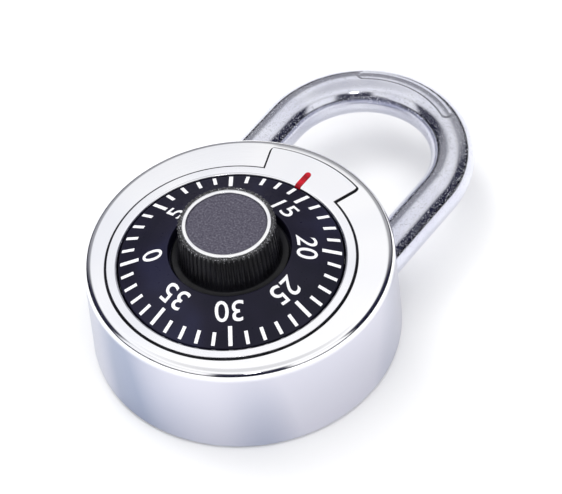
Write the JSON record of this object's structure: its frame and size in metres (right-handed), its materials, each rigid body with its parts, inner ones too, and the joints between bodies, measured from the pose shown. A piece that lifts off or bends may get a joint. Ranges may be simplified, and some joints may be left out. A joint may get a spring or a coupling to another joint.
{
  "type": "combination padlock",
  "caption": "Round dial combination padlock lying on its back, with a knurled knob on a numbered cone, a raised index tab and a round steel shackle.",
  "frame": {"origin": "middle of the back cover's rest face", "axes": "+Z out of the dial, +Y towards the shackle, +X to the right when looking at the dial with the shackle up"},
  "size_m": [0.0488, 0.0748, 0.0265],
  "materials": {
    "stainless_shell": "satin stainless, fine grain round the case",
    "polished_face": "polished plated steel",
    "dark_steel": "plain zinc-plated steel",
    "spring_steel": "spring steel",
    "red_paint": "gloss red enamel",
    "white_paint": "matt white marking paint",
    "dial_black": "semi-gloss black with white ticks and numbers",
    "knob_black": "moulded black, fluted",
    "bright_ring": "polished ring",
    "cap_gray": "fine matt texture",
    "brass": "stamped, unpolished",
    "shackle_chrome": "polished hardened steel"
  },
  "bodies": {
    "case": {"outer_shell": "stainless_shell", "inner_case": "polished_face", "back_plate": "dark_steel", "back_cover": "stainless_shell", "index_mark": "red_paint", "dial_spring_washer": "spring_steel", "wheel_post": "dark_steel", "wheel_spacer": "brass", "wheel_clip": "spring_steel", "tension_washer": "spring_steel", "lever_pivot": "dark_steel", "lever_clip": "spring_steel", "spring_post": "dark_steel", "shackle_guides": "dark_steel"},
    "dial_and_cam": {"dial": "dial_black", "dial_ticks": "white_paint", "knob": "knob_black", "knob_ring": "bright_ring", "knob_cap": "cap_gray", "spindle": "dark_steel", "drive_cam": "brass", "cam_drive_pin": "dark_steel"},
    "middle_wheel_group": {"middle_wheel": "brass", "middle_wheel_pin": "dark_steel"},
    "rear_wheel_group": {"rear_wheel": "brass", "rear_wheel_pin": "dark_steel"},
    "lever": {"locking_lever": "dark_steel", "lever_spring": "spring_steel"},
    "shackle_group": {"shackle": "shackle_chrome", "shackle_retaining_ring": "spring_steel"}
  },
  "joints": [
    {"name": "dial_spin", "type": "hinge", "parent": "case", "child": "dial_and_cam", "pos_m": [0, -0.002, 0.018], "axis": [0, 0, 1], "continuous": true},
    {"name": "middle_wheel_spin", "type": "hinge", "parent": "case", "child": "middle_wheel_group", "pos_m": [0, -0.002, 0.0078], "axis": [0, 0, 1], "continuous": true},
    {"name": "rear_wheel_spin", "type": "hinge", "parent": "case", "child": "rear_wheel_group", "pos_m": [0, -0.002, 0.0055], "axis": [0, 0, 1], "continuous": true},
    {"name": "shackle_lift", "type": "slide", "parent": "case", "child": "shackle_group", "axis": [0, 1, 0], "range_m": [0, 0.012]},
    {"name": "lever_swing", "type": "hinge", "parent": "case", "child": "lever", "pos_m": [0.005, 0.0098, 0.0092], "axis": [0, 0, 1], "range_deg": [0, 20], "deforming": ["lever_spring"]}
  ],
  "couplings": [
    {"joint": "middle_wheel_spin", "follows": "dial_spin", "ratio": 1},
    {"joint": "rear_wheel_spin", "follows": "dial_spin", "ratio": 1},
    {"joint": "lever_swing", "follows": "shackle_lift", "rad_per_m": 29.08}
  ]
}
